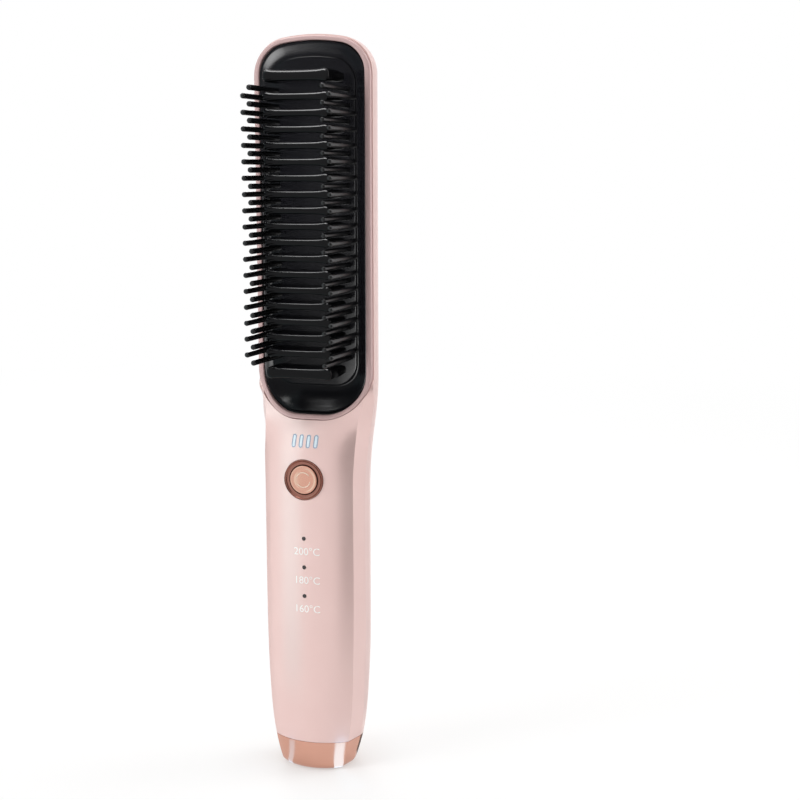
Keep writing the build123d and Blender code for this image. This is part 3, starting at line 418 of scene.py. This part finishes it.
# button, its ring and its mark: turned about the button's axis, in mm
button = {"height": 103.0, "sides": 72, "near": 0.004,
          # radius and Y down each turned profile
          "ring": ((5.12, -10.0), (5.12, -11.35), (5.22, -11.5), (5.42, -11.52), (5.75, -11.42),
                   (6.15, -11.55), (6.42, -11.85), (6.58, -12.1), (6.7, -12.15), (6.83, -12.08),
                   (6.88, -11.9), (6.88, -10.0)),
          "cap": ((4.9, -9.95), (4.9, -11.55), (4.86, -11.75), (4.74, -11.9), (4.5, -11.98),
                  (4.2, -11.95), (3.95, -11.86), (3.7, -11.82), (3.3, -11.86), (2.4, -11.93),
                  (1.2, -11.98))}
mark = {"radius": 2.5, "tube": 0.17, "y": -11.95, "arcs": ((35, 170), (215, 350)), "steps": 24,
        "endShare": 0.35, "tubeSteps": 3}


def turnedPiece(name, profile, closed):
    angles = [i / button["sides"] * 2 * math.pi for i in range(button["sides"])]
    loops = [[(radius * math.cos(a), y, button["height"] + radius * math.sin(a)) for a in angles]
             for radius, y in profile]
    piece = loopMesh(name, loops, closed)
    if not closed:
        # a flat face fills the first loop and the last one
        bpy.ops.object.mode_set(mode="EDIT")
        for radius, y in (profile[0], profile[-1]):
            bpy.ops.mesh.select_mode(type="VERT")
            selectVerts(piece, lambda co: abs(co.y - y) < button["near"] and
                        abs(math.hypot(co.x, co.z - button["height"]) - radius) < button["near"])
            bpy.ops.mesh.edge_face_add()
        bpy.ops.mesh.select_all(action="SELECT")
        bpy.ops.mesh.normals_make_consistent(inside=False)
        bpy.ops.object.mode_set(mode="OBJECT")
    return piece


def arcMark(start, end):
    # a short round bar bent to an arc, thinner at its ends
    bpy.ops.curve.primitive_bezier_circle_add(radius=mark["radius"] * mm)
    curve = bpy.context.object
    curve.data.splines.remove(curve.data.splines[0])
    spline = curve.data.splines.new("POLY")
    steps = mark["steps"]
    spline.points.add(steps)
    for i in range(steps + 1):
        angle = math.radians(start + (end - start) * i / steps)
        x, z = mark["radius"] * math.cos(angle), button["height"] + mark["radius"] * math.sin(angle)
        spline.points[i].co = (x * mm, mark["y"] * mm, z * mm, 1)
        spline.points[i].radius = mark["endShare"] if i in (0, steps) else 1.0
    curve.data.dimensions = "3D"
    curve.data.bevel_depth = mark["tube"] * mm
    curve.data.bevel_resolution = mark["tubeSteps"]
    curve.data.use_fill_caps = True
    bpy.ops.object.convert(target="MESH")
    bpy.ops.object.shade_smooth()
    return bpy.context.object


settle(turnedPiece("buttonRing", button["ring"], True), "buttonRing", finishes["bronze_plate"],
       ["button_ring"])
settle(turnedPiece("buttonCap", button["cap"], False), "buttonCap", finishes["rose_gold"],
       ["power_button"], body="button")
settle(joined([arcMark(*arc) for arc in mark["arcs"]]), "buttonMark", creamCaps, body="button")
print("button")


# printed temperatures: flat text laid on the crowned front, sizes and heights in mm
labels = {"texts": (("200\u00b0C", 78.2), ("180\u00b0C", 68.2), ("160\u00b0C", 58.2)),
          "size": 3.62, "x": 0.9, "lift": 0.015, "curveSteps": 6, "merge": 0.002}


def layOn(piece, target, lift):
    # every point slides along Y on to the target's surface
    useModifier(piece, "SHRINKWRAP", target=target, wrap_method="PROJECT", use_project_x=False,
                use_project_y=True, use_project_z=False, use_negative_direction=False,
                use_positive_direction=True, offset=lift * mm)


def printedText(words, height):
    bpy.ops.object.text_add(location=(labels["x"] * mm, clearFront * mm, height * mm),
                            rotation=(math.pi / 2, 0, 0))
    text = bpy.context.object
    text.data.body = words
    text.data.size = labels["size"] * mm
    text.data.align_x = "CENTER"
    text.data.align_y = "CENTER"
    text.data.resolution_u = labels["curveSteps"]
    bpy.ops.object.convert(target="MESH")
    bpy.ops.object.transform_apply(location=True, rotation=True, scale=True)
    bpy.ops.object.mode_set(mode="EDIT")
    bpy.ops.mesh.select_all(action="SELECT")
    bpy.ops.mesh.remove_doubles(threshold=labels["merge"] * mm)
    bpy.ops.object.mode_set(mode="OBJECT")
    layOn(text, nodes["front_cover"], labels["lift"])
    return text


settle(joined([printedText(*entry) for entry in labels["texts"]]), "printedTemperatures", whiteInk)
print("printed temperatures")


# thin printed lines round the edges of the battery bars, in mm; a gap below 0 lies inside the edge
bars = {"height": 115.9, "pitch": 2.6, "count": 4, "long": 4.3, "wide": 1.5, "gap": -0.3, "line": 0.24,
        "lift": 0.04, "sideSteps": 8, "endSteps": 12}


def barOutline(x):
    straight = (bars["long"] - bars["wide"]) / 2
    inside = bars["wide"] / 2 + bars["gap"]
    loops = []
    for radius in (inside, inside + bars["line"]):
        loop = []
        for end in (1, -1):
            for i in range(bars["endSteps"] + 1):
                angle = math.pi * i / bars["endSteps"] + (0 if end > 0 else math.pi)
                loop.append((radius * math.cos(angle), end * straight + radius * math.sin(angle)))
            for i in range(1, bars["sideSteps"]):
                loop.append((-end * radius, end * straight * (1 - 2 * i / bars["sideSteps"])))
        loops.append([(x + across, clearFront, bars["height"] + up) for across, up in loop])
    outline = loopMesh("barOutline", loops)
    layOn(outline, nodes["indicator_lens"], bars["lift"])
    return outline


barXs = [(i - (bars["count"] - 1) / 2) * bars["pitch"] for i in range(bars["count"])]
settle(joined([barOutline(x) for x in barXs]), "barOutlines", barInk)
print("battery bars")


# raised caps down the back panel: plain rounded bars, in mm
caps = {"count": 15, "top": 106.0, "pitch": 5.3, "wide": 3.9, "high": 2.6, "thick": 1.0, "rise": 0.18,
        "round": 0.3, "roundSteps": 3, "clearBack": 30}


def makeCap(height):
    # the cap stands out of the panel by its rise, wherever the panel's back lies at that height
    start = Vector((0, caps["clearBack"], height)) * mm
    panelBack = nodes["back_panel"].ray_cast(start, Vector((0, -1, 0)))[1].y / mm
    cap = addBlock((0, panelBack + caps["rise"] - caps["thick"] / 2, height),
                   (caps["wide"], caps["thick"], caps["high"]))
    useModifier(cap, "BEVEL", width=caps["round"] * mm, segments=caps["roundSteps"])
    bpy.ops.object.shade_smooth_by_angle(angle=blockCrease)
    return cap


capHeights = [caps["top"] - i * caps["pitch"] for i in range(caps["count"])]
settle(joined([makeCap(height) for height in capHeights]), "panelCaps", creamCaps)
print("back panel caps")


# floor and background, in metres
studio = {"floorColour": "#F2F1F0", "floorRoughness": 0.9, "floorSize": 8.0, "worldStrength": 0.42,
          # share of the full glow at the comb, and the two reaches between which it grows to the full glow
          "wideGlow": (0.72, 0.12, 1.1), "footGlow": (0.58, 0.014, 0.04)}


def addSeen(tree):
    # 1 for what the camera sees, directly, in a reflection or through glass
    rays = addNode(tree, "ShaderNodeLightPath").outputs
    direct = addNode(tree, "ShaderNodeMath", {"operation": "MAXIMUM"},
                     (rays["Is Camera Ray"], rays["Is Glossy Ray"]))
    return addNode(tree, "ShaderNodeMath", {"operation": "MAXIMUM"},
                   (direct.outputs[0], rays["Is Transmission Ray"])).outputs[0]


def buildFloor():
    bpy.ops.mesh.primitive_plane_add(size=studio["floorSize"], location=(0, 0, 0))
    floor = bpy.context.object
    floor.name = "studioFloor"
    material, tree, surface = newMaterial("mattePaperFloor", {"Roughness": studio["floorRoughness"]})
    surface.inputs["Base Color"].default_value = hexColour(studio["floorColour"])
    # the paper glows where it is seen, fully from a metre out, and keeps the shadow near the comb
    place = addNode(tree, "ShaderNodeTexCoord").outputs["Object"]
    reach = addNode(tree, "ShaderNodeVectorMath", {"operation": "LENGTH"}, Vector=place).outputs["Value"]
    glows = []
    for least, near, far in (studio["wideGlow"], studio["footGlow"]):
        ramp = {"From Min": near, "From Max": far, "To Min": least, "To Max": 1.0,
                "interpolation_type": "SMOOTHSTEP"}
        glows.append(addNode(tree, "ShaderNodeMapRange", ramp, Value=reach).outputs["Result"])
    both = addNode(tree, "ShaderNodeMath", {"operation": "MULTIPLY"}, glows)
    share = addNode(tree, "ShaderNodeMath", {"operation": "MULTIPLY"}, (both.outputs[0], addSeen(tree)))
    white = addNode(tree, "ShaderNodeEmission", {"Strength": 1.0})
    mixed = addNode(tree, "ShaderNodeMixShader",
                    sources=(share.outputs[0], surface.outputs[0], white.outputs[0]))
    tree.links.new(mixed.outputs[0], tree.nodes["Material Output"].inputs["Surface"])
    floor.data.materials.append(material)


def buildWorld():
    world = bpy.data.worlds.new("studioWorld")
    bpy.context.scene.world = world
    world.use_nodes = True
    tree = world.node_tree
    background = tree.nodes["Background"]
    background.inputs["Color"].default_value = (1, 1, 1, 1)
    levels = {"A": studio["worldStrength"], "B": 1.0}
    strength = addNode(tree, "ShaderNodeMix", levels, Factor=addSeen(tree))
    tree.links.new(strength.outputs[0], background.inputs["Strength"])
    bpy.context.scene.view_settings.view_transform = "Standard"


# lamps, in metres
softBoxes = [
    # name, place, size, watts, turned towards
    ("leftSoftBox", (-0.83, -0.82, 0.60), (0.55, 1.0), 8.0, (0, 0, 0.13)),
    ("rightSoftBox", (0.85, 0.55, 0.60), (0.55, 1.0), 5.0, (0, 0, 0.13)),
    ("topSoftBox", (0.0, 0.0, 1.15), (0.8, 0.45), 4.5, (0, 0, 0.10)),
    ("backSoftBox", (-0.55, 0.95, 0.60), (0.4, 1.0), 4.5, (0, 0, 0.12)),
]
dullBoxes = ("leftSoftBox",)  # lights the paint, and leaves no spot in its gloss
combLamps = [
    # name, place, size, watts, turned towards, spread in degrees, the only piece that it lights
    ("toothLamp", (-0.18, -0.29, 0.555), (0.24, 0.22), 6.0, (0, 0, 0.19), 180, "heatedTeeth"),
    ("platformLamp", (-0.18, -0.29, 0.555), (0.14, 0.14), 0.15, (0, 0, 0.25), 40, "combPlate"),
    ("plateHighLamp", (-0.004, -0.18, 0.152), (0.14, 0.12), 0.42, (-0.015, 0, 0.24), 60, "combPlate"),
    ("plateLowLamp", (0.11, -0.20, 0.24), (0.09, 0.09), 0.04, (-0.014, 0, 0.128), 60, "combPlate"),
]


def addLamp(name, place, size, watts, target, spread=180):
    light = bpy.data.lights.new(name, "AREA")
    light.shape = "RECTANGLE"
    light.size, light.size_y = size
    light.energy = watts
    light.spread = math.radians(spread)
    lamp = bpy.data.objects.new(name, light)
    bpy.context.scene.collection.objects.link(lamp)
    lamp.location = place
    lamp.rotation_euler = (Vector(target) - Vector(place)).to_track_quat("-Z", "Y").to_euler()
    lamp.visible_camera = False
    lamp.visible_glossy = name not in dullBoxes
    return lamp


def buildLights():
    for box in softBoxes:
        addLamp(*box)
    for name, place, size, watts, target, spread, lit in combLamps:
        lamp = addLamp(name, place, size, watts, target, spread)
        group = bpy.data.collections.new(name + "Lights")
        group.objects.link(bpy.data.objects[lit])
        lamp.light_linking.receiver_collection = group
        lamp.light_linking.blocker_collection = group


# cards that only the gloss sees, which draw the bright and dark bands along the comb
reflectors = [
    # name, azimuth, half width and twist in degrees, near and far edge on the floor and height in
    # metres, brightness at the near and at the far edge, colour
    ("brightCard", -43, 15, 0, 0.09, 0.27, 0.45, 1.05, 1.55, "#E2FDFF"),
    ("darkCard", 46, 15, 0, 0.09, 0.34, 0.45, 0.9, 0.05, "#FFFFFF"),
    ("sideCard", 146, 18, 0, 0.05, 0.40, 0.60, 0.76, 0.76, "#FFFFFF"),
    ("leftCard", -108, 22, 0, 0.03, 0.40, 0.60, 0.6, 0.3, "#FFFFFF"),
    ("capBrightCard", 55, 9, 8, 0.009, 0.030, 0.0, 3.0, 3.0, "#B8E4FF"),
    ("capPaleCard", -48, 6, 0, 0.009, 0.030, 0.0, 1.8, 1.8, "#CAE9FF"),
    ("capLeftCard", -128, 26, 0, 0.009, 0.034, 0.0, 0.2, 0.2, "#FFFFFF"),
    ("capRightCard", 140, 22, 0, 0.009, 0.030, 0.0, 0.2, 0.2, "#FFFFFF"),
]
floorLift = 0.0004  # metres from the floor up to the cards that lie on it
rampBeyond = 0.01  # metres past the far edge, where the brightness reaches its last value


def cardQuad(spread, ends):
    # the corners between two edges, each at an azimuth, a reach from the comb and a height
    corners = []
    for azimuth, reach, z in ends:
        edge = [math.radians(azimuth + spread * side) for side in (-1, 1)]
        corners.append([Vector((math.sin(a) * reach, -math.cos(a) * reach, z)) for a in edge])
    return corners[0] + corners[1][::-1]


def cardPaper(name, near, far, nearBright, farBright, colour):
    # glowing paper whose brightness goes from one value to another away from the comb
    material = bpy.data.materials.new(name)
    material.use_nodes = True
    tree = material.node_tree
    tree.nodes.clear()
    place = addNode(tree, "ShaderNodeTexCoord").outputs["Object"]
    reach = addNode(tree, "ShaderNodeVectorMath", {"operation": "LENGTH"}, Vector=place).outputs["Value"]
    ramp = {"From Min": near, "From Max": far + rampBeyond, "To Min": nearBright, "To Max": farBright}
    level = addNode(tree, "ShaderNodeMapRange", ramp, Value=reach).outputs["Result"]
    glow = addNode(tree, "ShaderNodeEmission", {"Color": hexColour(colour)}, Strength=level)
    addNode(tree, "ShaderNodeOutputMaterial", Surface=glow.outputs[0])
    return material


def buildReflectors():
    for name, azimuth, spread, twist, near, far, high, nearBright, farBright, colour in reflectors:
        quads = [cardQuad(spread, ((azimuth + twist, near, floorLift), (azimuth - twist, far, floorLift)))]
        if high > 0:
            quads.append(cardQuad(spread, ((azimuth, far, floorLift), (azimuth, far, high))))
        mesh = bpy.data.meshes.new(name)
        mesh.from_pydata([tuple(corner) for quad in quads for corner in quad], [],
                         [tuple(range(4 * i, 4 * i + 4)) for i in range(len(quads))])
        mesh.materials.append(cardPaper(name + "Paper", near, far, nearBright, farBright, colour))
        card = bpy.data.objects.new(name, mesh)
        bpy.context.scene.collection.objects.link(card)
        card.visible_camera = False
        card.visible_diffuse = False
        card.visible_shadow = False


# camera: angles in degrees, the turn in radians, lengths in mm, and what lies on the frame in pixels
view = {"azimuth": 22.0, "elevation": 9.1, "distance": 500, "turn": 0.011, "targetHeight": 125,
        "focal": 1464.0, "targetX": 315.7, "targetY": 409.0, "image": 800.0,
        "sensor": 36.0, "nearest": 10}


def buildCamera():
    # the camera aims beside the comb, so that the comb stands in the left half of the frame
    azimuth, elevation = math.radians(view["azimuth"]), math.radians(view["elevation"])
    target = Vector((0, 0, view["targetHeight"] * mm))
    back = Vector((math.sin(azimuth) * math.cos(elevation), -math.cos(azimuth) * math.cos(elevation),
                   math.sin(elevation)))
    camera = bpy.data.objects.new("camera", bpy.data.cameras.new("camera"))
    bpy.context.scene.collection.objects.link(camera)
    camera.data.sensor_width = view["sensor"]
    camera.data.lens = view["sensor"] * view["focal"] / view["image"]
    camera.data.clip_start = view["nearest"] * mm
    right = Vector((0, 0, 1)).cross(back).normalized()
    up = back.cross(right)
    aside = math.atan2(view["image"] / 2 - view["targetX"], view["focal"])
    above = math.atan2(view["targetY"] - view["image"] / 2, view["focal"])
    base = Matrix((right, up, back)).transposed()
    aim = (Matrix.Rotation(-aside, 3, "Y") @ Matrix.Rotation(above, 3, "X")
           @ Matrix.Rotation(-view["turn"], 3, "Z"))
    place = target + back * (view["distance"] * mm)
    camera.matrix_world = Matrix.Translation(place) @ (base @ aim).to_4x4()
    bpy.context.scene.camera = camera


buildFloor()
buildWorld()
buildLights()
buildReflectors()
buildCamera()
print("studio and camera")

bpy.context.view_layer.update()
